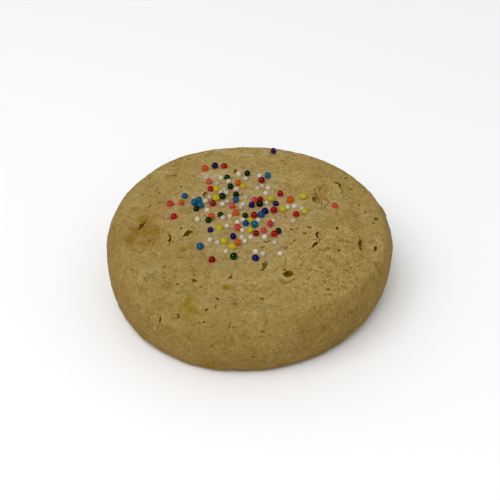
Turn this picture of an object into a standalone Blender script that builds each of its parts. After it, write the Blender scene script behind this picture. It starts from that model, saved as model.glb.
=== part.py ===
"""A sugar cookie: thick, round and soft, with a flat base, a low rim and small sugar beads baked on top.

The cookie is one solid. A ball is wrapped onto a side outline that is a little out of round, beads
are fused onto the top, and pits and cracks are cut into the crust.
Metres, +Z up. The origin is on the base, under the middle, and the front faces -Y.
"""
import math
import random
from collections import namedtuple

import bmesh
import bpy
from mathutils import Matrix, Vector, noise
from mathutils.bvhtree import BVHTree

MM = 0.001

# Side outline: half widths and heights of the turned form.
RADIUS = 38.0 * MM
BASE_RADIUS = 33.4 * MM
WIDEST_HEIGHT = 13.9 * MM
TOP_HEIGHT = 23.1 * MM
TOP_FLATNESS = 3.0
SHOULDER_ROUNDNESS = 1.65
FOOT_ROUNDNESS = 2.0
OUTLINE_STEPS = 32

# The rim of the top. It spread out and sank where the dough ran furthest, at the front right.
RIM_RADIUS = 33.5 * MM
RIM_HEIGHT = 22.1 * MM
SPREAD_OUT = 3.0 * MM
SPREAD_DOWN = 2.4 * MM
SPREAD_AT = math.radians(38)
SPREAD_WIDTH = math.radians(42)

# The plan is a circle with a slight lean, as two and three soft lobes: (lobes, cosine, sine) shares.
PLAN_LOBES = ((2, -0.0034, -0.0086), (3, 0.0022, -0.0119))

# A low ridge runs round the top with a shallow moat inside it, clearest at the front right.
RIDGE_RISE = 0.35 * MM
RIDGE_OUTSET = 1.1 * MM
RIDGE_WIDTH = 1.5 * MM
MOAT_DEPTH = 0.35 * MM
MOAT_INSET = 3.0 * MM
MOAT_WIDTH = 2.0 * MM
RIDGE_CLEAREST_AT = math.radians(25)
RIDGE_FAINTEST = 0.3

# Uneven dough: broad lumps and smaller ones, by size and height.
LUMPS = ((17.0 * MM, 0.3 * MM), (7.5 * MM, 0.22 * MM))
BODY_SUBDIVISIONS = 5

# The view from which places on the top were read: a sight line through each picture point.
VIEW_ELEVATION = math.radians(38.8)
VIEW_DISTANCE = 350.0 * MM
VIEW_TARGET = Vector((0.1 * MM, 0.0, 11.9 * MM))
PICTURE_CENTRE = 250.0
FOCAL_PIXELS = 1304.0
SIGHT_STEPS = 8

# Beads that stand out, by colour, as picture points.
BEADS_SEEN = {
    "navy": (
        (275.0, 151.0), (251.6, 205.7), (264.9, 211.1), (210.5, 230.1), (233.1, 237.1), (255.4, 258.0),
        (214.9, 166.5)),
    "blue": (
        (184.7, 195.2), (194.5, 202.4), (198.8, 199.7), (235.9, 199.9), (267.7, 175.7), (200.2, 246.2),
        (200.5, 205.0)),
    "green": ((230.4, 186.2), (196.3, 208.0), (220.4, 214.8), (278.4, 231.1), (233.6, 256.9), (227.1, 177.3)),
    "red": ((224.1, 165.9), (174.0, 216.0), (210.3, 188.7), (273.9, 210.3), (256.1, 233.8), (212.0, 259.2)),
    "pink": ((170.2, 202.9), (208.9, 181.0), (334.6, 205.1), (237.6, 227.8), (232.2, 206.0)),
    "orange": ((204.9, 168.7), (181.2, 201.8), (238.1, 182.7), (290.2, 200.1), (237.6, 243.2)),
    "yellow": ((303.4, 196.8), (283.1, 209.2), (304.8, 211.9), (219.6, 227.4), (216.4, 188.8)),
}

# The rest of the pinch lies in small patches: the middle as a picture point, the radius, the colours of
# the bright beads, how many pale ones there are, and the seed of the patch's draw.
Patch = namedtuple("Patch", "at radius colours pale seed")
PATCHES = (
    Patch((219, 179), 4.0 * MM, (), 4, 895),
    Patch((248, 179), 4.5 * MM, ("green", "red", "yellow"), 3, 934),
    Patch((228, 190), 3.0 * MM, ("green",), 4, 33),
    Patch((268, 192), 4.0 * MM, ("red", "red", "yellow"), 4, 774),
    Patch((217, 199), 3.5 * MM, ("green", "red", "yellow"), 4, 724),
    Patch((245, 202), 3.5 * MM, ("pink",), 3, 780),
    Patch((265, 209), 4.0 * MM, ("navy", "blue", "green", "red"), 1, 879),
    Patch((294, 211), 4.0 * MM, ("red",), 4, 611),
    Patch((208, 216), 4.0 * MM, ("green", "orange"), 2, 306),
    Patch((231, 219), 3.5 * MM, ("orange",), 4, 496),
    Patch((252, 220), 3.0 * MM, ("blue", "blue", "green", "yellow"), 2, 978),
    Patch((269, 230), 4.0 * MM, ("red", "pink", "pink"), 2, 232),
    Patch((247, 235), 3.0 * MM, ("yellow",), 4, 616),
    Patch((217, 241), 2.0 * MM, ("yellow",), 2, 814),
    Patch((230, 249), 1.5 * MM, ("yellow",), 1, 376),
    Patch((269, 250), 4.0 * MM, (), 4, 298),
)

# Bright beads are larger. Pale ones are smaller and sit deeper, some almost melted into the crust.
BeadKind = namedtuple("BeadKind", "diameters sinks")
BRIGHT = BeadKind((1.6 * MM, 1.9 * MM), (0.1, 0.35))
PALE = BeadKind((1.25 * MM, 1.55 * MM), (0.25, 0.50))
Bead = namedtuple("Bead", "place radius sink turn")
BEADS_SEEN_SEED = 4
BEAD_TOUCH = 0.92
BEAD_LIFT = 0.4 * MM
BEAD_SEGMENTS = 6
BEAD_RINGS = 4

# Pits and cracks in the crust: the picture points of their two ends, and their width and depth.
Crack = namedtuple("Crack", "start end width depth")
CRACKS = (
    Crack((183.2, 236.3), (192.7, 230.8), 1.3 * MM, 1.0 * MM),
    Crack((187.6, 230.6), (187.2, 236.8), 1.1 * MM, 0.9 * MM),
    Crack((283.4, 275.0), (291.8, 272.2), 2.0 * MM, 1.1 * MM),
    Crack((139.4, 228.8), (145.5, 221.8), 0.8 * MM, 0.8 * MM),
    Crack((168.9, 234.9), (169.8, 241.9), 0.8 * MM, 0.9 * MM),
    Crack((203.2, 195.2), (207.6, 192.5), 0.8 * MM, 0.6 * MM),
    Crack((333.8, 182.9), (340.4, 186.0), 0.9 * MM, 0.8 * MM),
    Crack((314.2, 201.5), (316.3, 194.0), 1.4 * MM, 0.8 * MM),
    Crack((315.8, 232.0), (318.2, 237.6), 0.8 * MM, 0.9 * MM),
    Crack((312.9, 246.6), (317.4, 241.8), 0.8 * MM, 0.8 * MM),
    Crack((359.7, 239.5), (360.2, 249.3), 0.9 * MM, 1.0 * MM),
    Crack((375.4, 247.3), (374.9, 250.8), 0.7 * MM, 0.9 * MM),
    Crack((375.4, 218.5), (377.5, 220.0), 0.8 * MM, 0.7 * MM),
    Crack((262.6, 263.6), (267.0, 264.4), 1.2 * MM, 0.8 * MM),
    Crack((229.2, 278.9), (232.1, 275.5), 0.7 * MM, 0.7 * MM),
    Crack((192.9, 279.6), (197.0, 281.9), 0.8 * MM, 0.8 * MM),
    Crack((215.9, 298.2), (220.0, 299.2), 0.8 * MM, 0.8 * MM),
    Crack((204.8, 311.2), (208.0, 309.1), 0.8 * MM, 0.7 * MM),
    Crack((159.2, 322.8), (160.4, 318.0), 0.8 * MM, 0.7 * MM),
    Crack((228.9, 328.0), (230.7, 322.8), 0.6 * MM, 0.6 * MM),
)
CRACK_CLEARANCE = 1.3 * MM
CRACK_SEGMENTS = 8
CRACK_RINGS = 6

CRUST_COLOUR = (0.325, 0.228, 0.068, 1.0)
CRUST_ROUGHNESS = 0.85


def clear_scene():
    """Remove every object that the scene starts with."""
    for item in list(bpy.data.objects):
        bpy.data.objects.remove(item, do_unlink=True)


def new_collection(name):
    """Link an empty collection to the scene."""
    collection = bpy.data.collections.new(name)
    bpy.context.scene.collection.children.link(collection)
    return collection


def new_object(name, mesh_builder, collection):
    """Make an object from a bmesh and put it in a collection."""
    mesh = bpy.data.meshes.new(name)
    mesh_builder.to_mesh(mesh)
    mesh_builder.free()
    item = bpy.data.objects.new(name, mesh)
    collection.objects.link(item)
    return item


def crust_material():
    """Matte golden crust."""
    material = bpy.data.materials.new("crust")
    material.use_nodes = True
    shader = material.node_tree.nodes["Principled BSDF"]
    shader.inputs["Base Color"].default_value = CRUST_COLOUR
    shader.inputs["Roughness"].default_value = CRUST_ROUGHNESS
    shader.inputs["Metallic"].default_value = 0.0
    return material


def hump(distance, width):
    """A smooth bell, 1 at the middle."""
    return math.exp(-((distance / width) ** 2))


def rim(angle):
    """Radius and height of the rim at an angle that runs from the front towards +X."""
    spread = hump(angle - SPREAD_AT, SPREAD_WIDTH)
    return RIM_RADIUS + SPREAD_OUT * spread, RIM_HEIGHT - SPREAD_DOWN * spread


def top_height(radius, angle):
    """Height of the smooth top inside the rim."""
    rim_radius, rim_height = rim(angle)
    share = min(1.0, radius / rim_radius)
    return rim_height + (TOP_HEIGHT - rim_height) * (1 - share ** TOP_FLATNESS)


def side_outline(angle):
    """Points (radius, height) from the middle of the top, over the shoulder and foot, to the base."""
    rim_radius, rim_height = rim(angle)
    shares = [step / OUTLINE_STEPS for step in range(OUTLINE_STEPS + 1)]
    quarter = [math.pi / 2 * share for share in shares]
    top = [(rim_radius * share, top_height(rim_radius * share, angle)) for share in shares[:-1]]
    shoulder = [
        (
            rim_radius + (RADIUS - rim_radius) * math.sin(turn) ** (2 / SHOULDER_ROUNDNESS),
            WIDEST_HEIGHT + (rim_height - WIDEST_HEIGHT) * math.cos(turn) ** (2 / SHOULDER_ROUNDNESS),
        )
        for turn in quarter[:-1]
    ]
    foot = [
        (
            BASE_RADIUS + (RADIUS - BASE_RADIUS) * math.cos(turn) ** (2 / FOOT_ROUNDNESS),
            WIDEST_HEIGHT * (1 - math.sin(turn) ** (2 / FOOT_ROUNDNESS)),
        )
        for turn in quarter
    ]
    return top + shoulder + foot + [(0.0, 0.0)]


def along_outline(points, share):
    """The point at a share of the outline's length, and the outward direction there."""
    lengths = [math.dist(a, b) for a, b in zip(points, points[1:])]
    left = share * sum(lengths)
    for (start, end), length in zip(zip(points, points[1:]), lengths):
        if left <= length:
            break
        left -= length
    part = min(1.0, left / length)
    radius = start[0] + (end[0] - start[0]) * part
    height = start[1] + (end[1] - start[1]) * part
    outward = Vector((start[1] - end[1], end[0] - start[0])).normalized()
    return radius, height, outward


def plan_factor(angle):
    """How far the plan stands out at an angle that runs from the front towards +X."""
    factor = 1.0
    for lobes, cosine, sine in PLAN_LOBES:
        factor += cosine * math.cos(lobes * angle) + sine * math.sin(lobes * angle)
    return factor


def rim_relief(radius, angle):
    """Height of the ridge and moat that mark the edge of the top."""
    turn = (1 + math.cos(angle - RIDGE_CLEAREST_AT)) / 2
    strength = RIDGE_FAINTEST + (1 - RIDGE_FAINTEST) * turn
    rim_radius, _ = rim(angle)
    ridge = RIDGE_RISE * hump(radius - rim_radius - RIDGE_OUTSET, RIDGE_WIDTH)
    moat = MOAT_DEPTH * hump(radius - rim_radius + MOAT_INSET, MOAT_WIDTH)
    return strength * (ridge - moat)


def lump_relief(place):
    """Uneven dough, as smooth noise at two sizes."""
    return sum(height * noise.noise(place / size) for size, height in LUMPS)


def wrap_onto_cookie(direction):
    """Where a point of the unit ball lies on the cookie."""
    share = math.acos(max(-1.0, min(1.0, direction.z))) / math.pi
    angle = math.atan2(direction.x, -direction.y)
    radius, height, outward = along_outline(side_outline(angle), share)
    ray = Vector((math.sin(angle), -math.cos(angle), 0.0))
    place = ray * radius * plan_factor(angle)
    place.z = height
    if height <= 0.0:
        return place
    rise = lump_relief(place) * min(1.0, height / WIDEST_HEIGHT)
    if height > WIDEST_HEIGHT:
        rise += rim_relief(radius, angle)
    return place + (ray * outward.x + Vector((0.0, 0.0, outward.y))) * rise


def make_body(collection):
    """The whole cookie without beads or pits."""
    builder = bmesh.new()
    bmesh.ops.create_icosphere(builder, subdivisions=BODY_SUBDIVISIONS, radius=1.0)
    for vertex in builder.verts:
        vertex.co = wrap_onto_cookie(vertex.co.normalized())
    low = [min(vertex.co[axis] for vertex in builder.verts) for axis in range(2)]
    high = [max(vertex.co[axis] for vertex in builder.verts) for axis in range(2)]
    middle = Vector(((low[0] + high[0]) / 2, (low[1] + high[1]) / 2, 0.0))
    bmesh.ops.translate(builder, verts=builder.verts, vec=-middle)
    return new_object("cookie", builder, collection)


def sight_line(picture_point):
    """Start and direction of the line of sight through a picture point."""
    back = Vector((0.0, -math.cos(VIEW_ELEVATION), math.sin(VIEW_ELEVATION)))
    up = Vector((0.0, math.sin(VIEW_ELEVATION), math.cos(VIEW_ELEVATION)))
    right = Vector((1.0, 0.0, 0.0))
    across = (picture_point[0] - PICTURE_CENTRE) / FOCAL_PIXELS
    rise = (PICTURE_CENTRE - picture_point[1]) / FOCAL_PIXELS
    return VIEW_TARGET + back * VIEW_DISTANCE, (right * across + up * rise - back).normalized()


def place_on_top(picture_point, lift=0.0):
    """Plan place (x, y) of a picture point on the top, or a lift above it."""
    start, direction = sight_line(picture_point)
    height = TOP_HEIGHT
    for _ in range(SIGHT_STEPS):
        place = start + direction * ((height + lift - start.z) / direction.z)
        angle = math.atan2(place.x, -place.y)
        height = top_height(math.hypot(place.x, place.y) / plan_factor(angle), angle)
    return place.x, place.y


def draw_size(kind, draw):
    """Radius, sunk share and turn of one bead."""
    return draw.uniform(*kind.diameters) / 2, draw.uniform(*kind.sinks), draw.uniform(0.0, math.tau)


def seen_beads():
    """The beads that stand out."""
    draw = random.Random(BEADS_SEEN_SEED)
    points = [point for points in BEADS_SEEN.values() for point in points]
    return [Bead(place_on_top(point, BEAD_LIFT), *draw_size(BRIGHT, draw)) for point in points]


def is_clear(place, radius, beads, crack_ends):
    """Whether a bead would lie clear of other beads and of the cracks."""
    return all(
        math.dist(place, bead.place) > (radius + bead.radius) * BEAD_TOUCH for bead in beads
    ) and all(math.dist(place, end) > CRACK_CLEARANCE for end in crack_ends)


def patch_beads(patch, taken, crack_ends):
    """The beads of one patch, each drawn in its circle until it lies clear."""
    middle = place_on_top(patch.at, BEAD_LIFT)
    draw = random.Random(patch.seed)
    beads = []
    for kind in [BRIGHT] * len(patch.colours) + [PALE] * patch.pale:
        size = draw_size(kind, draw)
        place = None
        while place is None or not is_clear(place, size[0], taken + beads, crack_ends):
            turn = draw.uniform(0.0, math.tau)
            reach = patch.radius * math.sqrt(draw.random())
            place = (middle[0] + reach * math.cos(turn), middle[1] + reach * math.sin(turn))
        beads.append(Bead(place, *size))
    return beads


def all_beads():
    """The beads that stand out, then those of the patches."""
    crack_ends = [place_on_top(end) for crack in CRACKS for end in (crack.start, crack.end)]
    beads = seen_beads()
    for patch in PATCHES:
        beads += patch_beads(patch, beads, crack_ends)
    return beads


def surface_below(tree, place):
    """The point of the surface straight below a plan place, and its normal."""
    above = Vector((place[0], place[1], 2 * TOP_HEIGHT))
    location, normal, _, _ = tree.ray_cast(above, Vector((0.0, 0.0, -1.0)))
    return location, normal


def make_beads(tree, collection):
    """One small ball for each bead, partly sunk in the crust."""
    builder = bmesh.new()
    bmesh.ops.create_uvsphere(
        builder, u_segments=BEAD_SEGMENTS, v_segments=BEAD_RINGS, radius=1.0)
    ball = bpy.data.meshes.new("bead")
    builder.to_mesh(ball)
    builder.free()
    for number, bead in enumerate(all_beads()):
        location, normal = surface_below(tree, bead.place)
        item = bpy.data.objects.new(f"bead_{number:03d}", ball)
        item.matrix_world = (
            Matrix.Translation(location + normal * bead.radius * (1 - 2 * bead.sink))
            @ normal.to_track_quat("Z", "Y").to_matrix().to_4x4()
            @ Matrix.Rotation(bead.turn, 4, "Z")
            @ Matrix.Diagonal((bead.radius, bead.radius, bead.radius, 1.0))
        )
        collection.objects.link(item)


def fuse_beads(body, collection):
    """Join the beads to the cookie and keep the result as its mesh."""
    union = body.modifiers.new("fuse_beads", "BOOLEAN")
    union.operation = "UNION"
    union.operand_type = "COLLECTION"
    union.collection = collection
    union.solver = "EXACT"
    bpy.context.view_layer.update()
    evaluated = body.evaluated_get(bpy.context.evaluated_depsgraph_get())
    joined = bpy.data.meshes.new_from_object(evaluated)
    body.modifiers.remove(union)
    body.data = joined
    for bead in list(collection.objects):
        bpy.data.objects.remove(bead, do_unlink=True)
    bpy.data.collections.remove(collection)


def make_crack_cutters(tree, collection):
    """One flattened ball for each pit or crack, half in the crust, as long as its two ends lie apart."""
    for number, crack in enumerate(CRACKS):
        start, start_normal, _, _ = tree.ray_cast(*sight_line(crack.start))
        end, end_normal, _, _ = tree.ray_cast(*sight_line(crack.end))
        up = (start_normal + end_normal).normalized()
        along = (end - start).normalized()
        across = up.cross(along).normalized()
        deep = along.cross(across)
        half_length = (end - start).length / 2
        axes = (along * half_length, across * crack.width / 2, deep * crack.depth)
        builder = bmesh.new()
        bmesh.ops.create_uvsphere(
            builder, u_segments=CRACK_SEGMENTS, v_segments=CRACK_RINGS, radius=1.0)
        placing = Matrix.Translation((start + end) / 2) @ Matrix(axes).transposed().to_4x4()
        bmesh.ops.transform(builder, matrix=placing, verts=builder.verts)
        cutter = new_object(f"crack_{number:02d}", builder, collection)
        cutter.hide_render = True
        cutter.display_type = "WIRE"


def cut_cracks(body, collection):
    """Cut the pits and cracks into the crust."""
    cut = body.modifiers.new("cut_cracks", "BOOLEAN")
    cut.operation = "DIFFERENCE"
    cut.operand_type = "COLLECTION"
    cut.collection = collection
    cut.solver = "EXACT"


def main():
    """Build the cookie."""
    clear_scene()
    parts = new_collection("sugar_cookie")
    cutters = new_collection("cutters")
    beads = new_collection("beads")
    body = make_body(parts)
    bpy.context.view_layer.update()
    tree = BVHTree.FromObject(body, bpy.context.evaluated_depsgraph_get())
    make_beads(tree, beads)
    fuse_beads(body, beads)
    make_crack_cutters(tree, cutters)
    cut_cracks(body, cutters)
    body.data.materials.clear()
    body.data.materials.append(crust_material())


main()
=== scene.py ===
# %% [markdown]
# # A sugar cookie with small sugar beads
# This lesson makes the look of one thick, soft sugar cookie: its baked crust with pits and cracks, and
# the coloured sugar beads on top. The cookie's solid is loaded first and gives the true size and place.
# The fine crust could be painted on that solid, but its faces are about 1.6 mm wide, too wide for pores.
# So a finer crust is made on the same named sizes and shown in its place.

# %% Load the frame
import math
import random
from collections import namedtuple

import bmesh
import bpy
import numpy as np
from mathutils import Matrix, Vector, noise
from mathutils.bvhtree import BVHTree


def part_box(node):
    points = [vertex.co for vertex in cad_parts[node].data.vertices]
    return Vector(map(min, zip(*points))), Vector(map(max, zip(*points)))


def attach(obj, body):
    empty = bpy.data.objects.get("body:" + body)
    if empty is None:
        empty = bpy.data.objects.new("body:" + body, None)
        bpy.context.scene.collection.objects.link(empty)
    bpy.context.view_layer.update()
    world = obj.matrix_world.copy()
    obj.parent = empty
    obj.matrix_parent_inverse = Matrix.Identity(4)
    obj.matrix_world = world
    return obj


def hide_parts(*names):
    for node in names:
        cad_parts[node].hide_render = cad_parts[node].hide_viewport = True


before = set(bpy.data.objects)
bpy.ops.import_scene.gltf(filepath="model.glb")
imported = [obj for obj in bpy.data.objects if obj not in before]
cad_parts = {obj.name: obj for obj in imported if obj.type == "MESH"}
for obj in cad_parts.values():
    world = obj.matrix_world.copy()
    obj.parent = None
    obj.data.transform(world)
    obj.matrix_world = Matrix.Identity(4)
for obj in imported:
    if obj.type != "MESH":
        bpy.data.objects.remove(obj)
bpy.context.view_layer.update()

MM = 0.001
cookie_low, cookie_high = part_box("cookie")
print("solid, mm:", [round((high - low) / MM, 1) for low, high in zip(cookie_low, cookie_high)])

# %% [markdown]
# ## The view
# The cookie is seen from the front and well above, close enough for its round top to look like an egg
# lying down. The view could be set by eye, but here it also serves as a measuring tool: a mark seen in
# the picture lies on a sight line from the camera, so the same numbers place the camera and the marks.

# %% Camera and sight lines
VIEW_ELEVATION = math.radians(38.8)
VIEW_DISTANCE = 350.0 * MM
VIEW_TARGET = Vector((0.1 * MM, 0.0, 11.9 * MM))
PICTURE_SIZE = 500.0
FOCAL_PIXELS = 1304.0
SENSOR_WIDTH = 36.0
NEAREST_SEEN = 5.0 * MM
FURTHEST_SEEN = 20.0

VIEW_BACK = Vector((0.0, -math.cos(VIEW_ELEVATION), math.sin(VIEW_ELEVATION)))
VIEW_UP = Vector((0.0, math.sin(VIEW_ELEVATION), math.cos(VIEW_ELEVATION)))
VIEW_RIGHT = Vector((1.0, 0.0, 0.0))


def sight_line(picture_point):
    """Start and direction of the line of sight through a picture point."""
    across = (picture_point[0] - PICTURE_SIZE / 2) / FOCAL_PIXELS
    rise = (PICTURE_SIZE / 2 - picture_point[1]) / FOCAL_PIXELS
    direction = (VIEW_RIGHT * across + VIEW_UP * rise - VIEW_BACK).normalized()
    return VIEW_TARGET + VIEW_BACK * VIEW_DISTANCE, direction


def add_to_scene(name, data):
    """A new object in the scene that holds a mesh, a lamp or a camera."""
    added = bpy.data.objects.new(name, data)
    bpy.context.scene.collection.objects.link(added)
    return added


lens = bpy.data.cameras.new("camera")
lens.sensor_width = SENSOR_WIDTH
lens.lens = FOCAL_PIXELS / PICTURE_SIZE * SENSOR_WIDTH
lens.clip_start = NEAREST_SEEN
lens.clip_end = FURTHEST_SEEN
camera = add_to_scene("camera", lens)
camera.location = VIEW_TARGET + VIEW_BACK * VIEW_DISTANCE
camera.rotation_euler = VIEW_BACK.to_track_quat("Z", "Y").to_euler()
bpy.context.scene.camera = camera
print("lens, mm:", round(lens.lens, 1))

# %% [markdown]
# ## The form of the dough
# A ball of dough spreads in the oven into a thick disc: flat below, a low rim above, round at the side.
# Such a form is turned, so its side outline says nearly all. One profile with a Screw modifier would
# make it exactly round. Here the dough ran further at the front right, where its rim is wider and lower,
# so the outline depends on the angle round the middle: an angle runs from the front towards +X.

# %% Side outline
RADIUS = 38.0 * MM
BASE_RADIUS = 33.4 * MM
WIDEST_HEIGHT = 13.9 * MM
TOP_HEIGHT = 23.1 * MM
TOP_FLATNESS = 3.0
SHOULDER_ROUNDNESS = 1.65
FOOT_ROUNDNESS = 2.0
OUTLINE_STEPS = 32
RIM_RADIUS = 33.5 * MM
RIM_HEIGHT = 22.1 * MM
SPREAD_OUT = 3.0 * MM
SPREAD_DOWN = 2.4 * MM
SPREAD_AT = math.radians(38)
SPREAD_WIDTH = math.radians(42)


def hump(distance, width):
    """A smooth bell, 1 at the middle."""
    return np.exp(-((distance / width) ** 2))


def rim(angle):
    """Radius and height of the rim."""
    spread = hump(angle - SPREAD_AT, SPREAD_WIDTH)
    return RIM_RADIUS + SPREAD_OUT * spread, RIM_HEIGHT - SPREAD_DOWN * spread


def top_height(radius, angle):
    """Height of the smooth top inside the rim."""
    rim_radius, rim_height = rim(angle)
    share = np.minimum(1.0, radius / rim_radius)
    return rim_height + (TOP_HEIGHT - rim_height) * (1 - share ** TOP_FLATNESS)


def side_outline(angle):
    """Radii and heights from the middle of the top, over shoulder and foot, to the middle of the base."""
    rim_radius, rim_height = rim(angle)
    share = np.linspace(0.0, 1.0, OUTLINE_STEPS + 1)
    sine, cosine = np.sin(share * math.pi / 2), np.cos(share * math.pi / 2)
    shoulder, foot = 2 / SHOULDER_ROUNDNESS, 2 / FOOT_ROUNDNESS
    radii = np.concatenate((
        rim_radius * share,
        rim_radius + (RADIUS - rim_radius) * sine ** shoulder,
        BASE_RADIUS + (RADIUS - BASE_RADIUS) * cosine ** foot,
        [0.0],
    ))
    heights = np.concatenate((
        top_height(rim_radius * share, angle),
        WIDEST_HEIGHT + (rim_height - WIDEST_HEIGHT) * cosine ** shoulder,
        WIDEST_HEIGHT * (1 - sine ** foot),
        [0.0],
    ))
    return radii, heights


front_radii, front_heights = side_outline(0.0)
widest, tallest = front_radii.max() / MM, front_heights.max() / MM
print("outline in front, mm: widest", round(widest, 1), "top", round(tallest, 1))

# %% [markdown]
# The outline is wanted at tens of thousands of points. Walking along it for each one would be slow, so
# it is tabled once, for a ring of angles and for equal shares of its length, and read in between.

# %% Table of the outline
ANGLE_STEPS = 360
SHARE_STEPS = 600
TABLE_ANGLES = np.linspace(-math.pi, math.pi, ANGLE_STEPS + 1)
TABLE_SHARES = np.linspace(0.0, 1.0, SHARE_STEPS + 1)


def tabled_outline(angle):
    """Radius, height and the outward direction (out, up) at equal shares of the outline's length."""
    radii, heights = side_outline(angle)
    length = np.concatenate(([0.0], np.cumsum(np.hypot(np.diff(radii), np.diff(heights)))))
    radius = np.interp(TABLE_SHARES, length / length[-1], radii)
    height = np.interp(TABLE_SHARES, length / length[-1], heights)
    run, fall = np.gradient(radius), -np.gradient(height)
    size = np.hypot(run, fall)
    return np.stack((radius, height, fall / size, run / size), axis=-1)


OUTLINES = np.stack([tabled_outline(angle) for angle in TABLE_ANGLES])


def read_outline(angle, share):
    """Radius, height and outward direction at many angles and shares, between the tabled ones."""
    row = (angle + math.pi) / math.tau * ANGLE_STEPS
    column = share * SHARE_STEPS
    low_row = np.clip(row.astype(int), 0, ANGLE_STEPS - 1)
    low_column = np.clip(column.astype(int), 0, SHARE_STEPS - 1)
    down, right = (row - low_row)[:, None], (column - low_column)[:, None]
    near = OUTLINES[low_row, low_column] * (1 - right) + OUTLINES[low_row, low_column + 1] * right
    far = OUTLINES[low_row + 1, low_column] * (1 - right) + OUTLINES[low_row + 1, low_column + 1] * right
    return (near * (1 - down) + far * down).T


print("outline table:", OUTLINES.shape)

# %% [markdown]
# ## Slow unevenness
# Dough is never even. Its plan leans a little off the round, broad lumps and smaller ones swell under
# the crust, and a low ridge with a shallow moat inside it marks the edge of the top. These are the
# same formulas as in the solid, so that the crust lies where the solid is.

# %% Plan, lumps and ridge
PLAN_LOBES = ((2, -0.0034, -0.0086), (3, 0.0022, -0.0119))
LUMPS = ((17.0 * MM, 0.3 * MM), (7.5 * MM, 0.22 * MM))
RIDGE_RISE = 0.35 * MM
RIDGE_OUTSET = 1.1 * MM
RIDGE_WIDTH = 1.5 * MM
MOAT_DEPTH = 0.35 * MM
MOAT_INSET = 3.0 * MM
MOAT_WIDTH = 2.0 * MM
RIDGE_CLEAREST_AT = math.radians(25)
RIDGE_FAINTEST = 0.3


def plan_factor(angle):
    """How far the plan stands out at an angle."""
    return 1.0 + sum(
        cosine * np.cos(lobes * angle) + sine * np.sin(lobes * angle) for lobes, cosine, sine in PLAN_LOBES)


def rim_relief(radius, angle):
    """Height of the ridge and moat that mark the edge of the top."""
    strength = RIDGE_FAINTEST + (1 - RIDGE_FAINTEST) * (1 + np.cos(angle - RIDGE_CLEAREST_AT)) / 2
    rim_radius, _ = rim(angle)
    ridge = RIDGE_RISE * hump(radius - rim_radius - RIDGE_OUTSET, RIDGE_WIDTH)
    moat = MOAT_DEPTH * hump(radius - rim_radius + MOAT_INSET, MOAT_WIDTH)
    return strength * (ridge - moat)


def dough_noise(places, size):
    """Smooth noise, from about -1 to 1, whose waves have a size."""
    return np.array([noise.noise(place) for place in (places / size).tolist()])


def wrap_onto_cookie(directions, shares):
    """Places on the cookie with its slow unevenness, and the outward directions there."""
    angle = np.arctan2(directions[:, 0], -directions[:, 1])
    radius, height, out, up = read_outline(angle, shares)
    ray = np.stack((np.sin(angle), -np.cos(angle), np.zeros_like(angle)), axis=-1)
    places = ray * (radius * plan_factor(angle))[:, None]
    places[:, 2] = height
    rise = sum(swell * dough_noise(places, size) for size, swell in LUMPS)
    rise = rise * np.clip(height / WIDEST_HEIGHT, 0.0, 1.0)
    rise += np.where(height > WIDEST_HEIGHT, rim_relief(radius, angle), 0.0)
    outward = ray * out[:, None]
    outward[:, 2] = up
    return places + outward * rise[:, None], outward


plan = plan_factor(TABLE_ANGLES)
print("plan, out of round by", round((plan.max() - plan.min()) * 100, 1), "%")

# %% [markdown]
# ## A fine skin
# A UV sphere would crowd its faces at the poles, just where the cookie shows most, and an icosphere
# can only double its detail. A cube that is cut into a grid and blown up into a ball has faces of nearly
# one size. Then the ball is wrapped onto the outline: the top and the side get most of the faces, and
# the hidden base gets few.

# %% Ball of square faces
GRID_CUTS = 79
POLAR_ANGLES = np.radians((0.0, 77.0, 148.0, 180.0))
OUTLINE_SHARES = (0.0, 0.365, 0.64, 1.0)


def make_ball():
    """A cube grid blown up into a unit ball."""
    builder = bmesh.new()
    bmesh.ops.create_cube(builder, size=2.0)
    bmesh.ops.subdivide_edges(builder, edges=builder.edges[:], cuts=GRID_CUTS, use_grid_fill=True)
    for vertex in builder.verts:
        spread = [math.tan(value * math.pi / 4) for value in vertex.co]
        vertex.co = Vector(spread).normalized()
    return builder


def builder_places(builder):
    """Where the builder's points are, as an array."""
    return np.array([vertex.co[:] for vertex in builder.verts])


def wrap_ball(places):
    """Wrap points near the unit ball onto the cookie."""
    directions = places / np.linalg.norm(places, axis=1)[:, None]
    polar = np.arccos(np.clip(directions[:, 2], -1.0, 1.0))
    return wrap_onto_cookie(directions, np.interp(polar, POLAR_ANGLES, OUTLINE_SHARES))


skin = make_ball()
smooth_places, _ = wrap_ball(builder_places(skin))
plan_middle = (smooth_places.min(axis=0) + smooth_places.max(axis=0)) / 2
plan_middle[2] = 0.0
smooth_places = smooth_places - plan_middle
smooth_tree = BVHTree.FromPolygons(
    smooth_places.tolist(), [[corner.index for corner in face.verts] for face in skin.faces])
print("skin:", len(skin.faces), "faces before refining")

# %% [markdown]
# ## Pits and cracks
# As the top dried while the inside still rose, the crust tore: short jagged slits, a few wider pits, and
# thin creases. A bump map would darken them but leave the edge flat. Each one is pressed into the mesh
# along a line of picture points, which sight lines carry onto the dough.

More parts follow.
